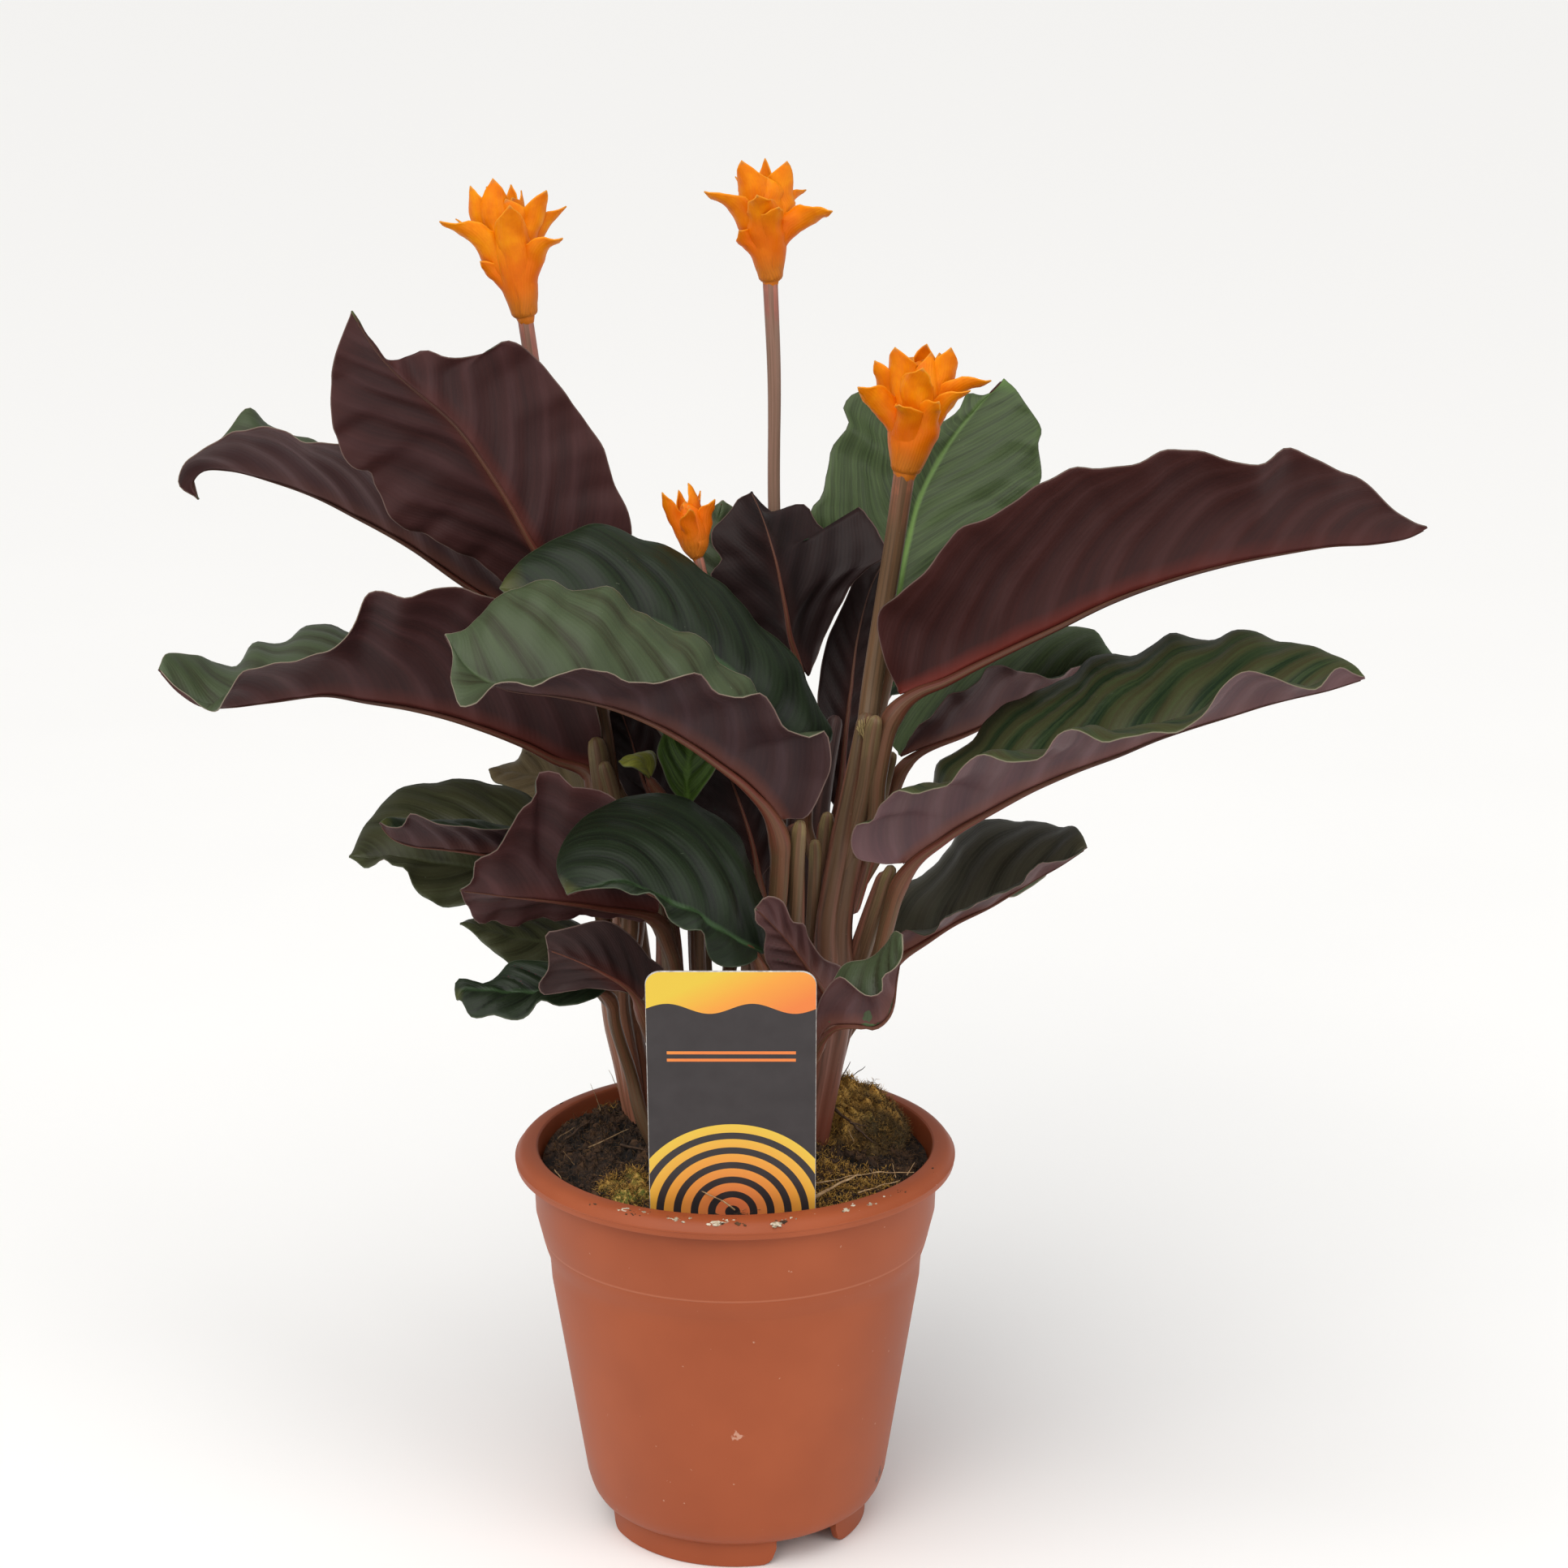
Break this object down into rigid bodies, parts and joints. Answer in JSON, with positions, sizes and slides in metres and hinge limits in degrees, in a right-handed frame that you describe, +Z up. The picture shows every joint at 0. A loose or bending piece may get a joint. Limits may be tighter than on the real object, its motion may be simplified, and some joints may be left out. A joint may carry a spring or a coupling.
{
  "type": "eternal flame calathea",
  "caption": "Potted eternal flame calathea with dark pleated leaves, orange flower heads and a plant tag, in a terracotta-coloured nursery pot.",
  "frame": {"origin": "bottom centre of the whole object's box; the pot's axis stands at x -14.3 mm, y -40.5 mm", "axes": "+Z up, +X to the right and +Y to the back as seen from the side with the plant tag"},
  "size_m": [0.3878, 0.2232, 0.4311],
  "materials": {
    "pot": "satin",
    "soil": "matte",
    "moss": "matte",
    "tag": "satin",
    "shoot": "satin",
    "leaf": "satin",
    "flower_stalk": "satin",
    "flower_bract": "matte"
  },
  "bodies": {
    "root": {"pot": "pot", "tag": "tag", "soil": "soil", "shoot_left": "shoot", "shoot_mid_left": "shoot", "shoot_middle": "shoot", "shoot_front_right": "shoot", "shoot_mid_right": "shoot", "shoot_right": "shoot", "shoot_far_right": "shoot", "shoot_right_small": "shoot", "flower_stalk_left": "flower_stalk", "flower_stalk_centre": "flower_stalk", "flower_stalk_right": "flower_stalk", "flower_stalk_small": "flower_stalk", "flower_left": "flower_bract", "flower_centre": "flower_bract", "flower_right": "flower_bract", "flower_small": "flower_bract", "leaf_top_left": "leaf", "leaf_far_left": "leaf", "leaf_mid_left": "leaf", "leaf_back_arching": "leaf", "leaf_front_arching": "leaf", "leaf_centre": "leaf", "leaf_small_back": "leaf", "leaf_upper_right": "leaf", "leaf_top_right": "leaf", "leaf_mid_right_back": "leaf", "leaf_long_right": "leaf", "leaf_low_right": "leaf", "leaf_low_front_a": "leaf", "leaf_low_front_b": "leaf", "leaf_front_round": "leaf", "leaf_low_left": "leaf", "leaf_rolled_left": "leaf", "leaf_lower_left": "leaf", "leaf_back_left": "leaf", "leaf_base_left_a": "leaf", "leaf_base_left_b": "leaf", "leaf_base_left_c": "leaf", "leaf_new_yellow": "leaf", "leaf_new_rolled": "leaf", "leaf_behind_stems": "leaf", "leaf_inner_dark": "leaf", "leaf_rear_left": "leaf", "leaf_rear_right": "leaf", "leaf_rear_low": "leaf", "leaf_rear_low_right": "leaf", "leaf_inner_right": "leaf", "moss_right": "moss", "moss_front_left": "moss"}
  },
  "joints": []
}
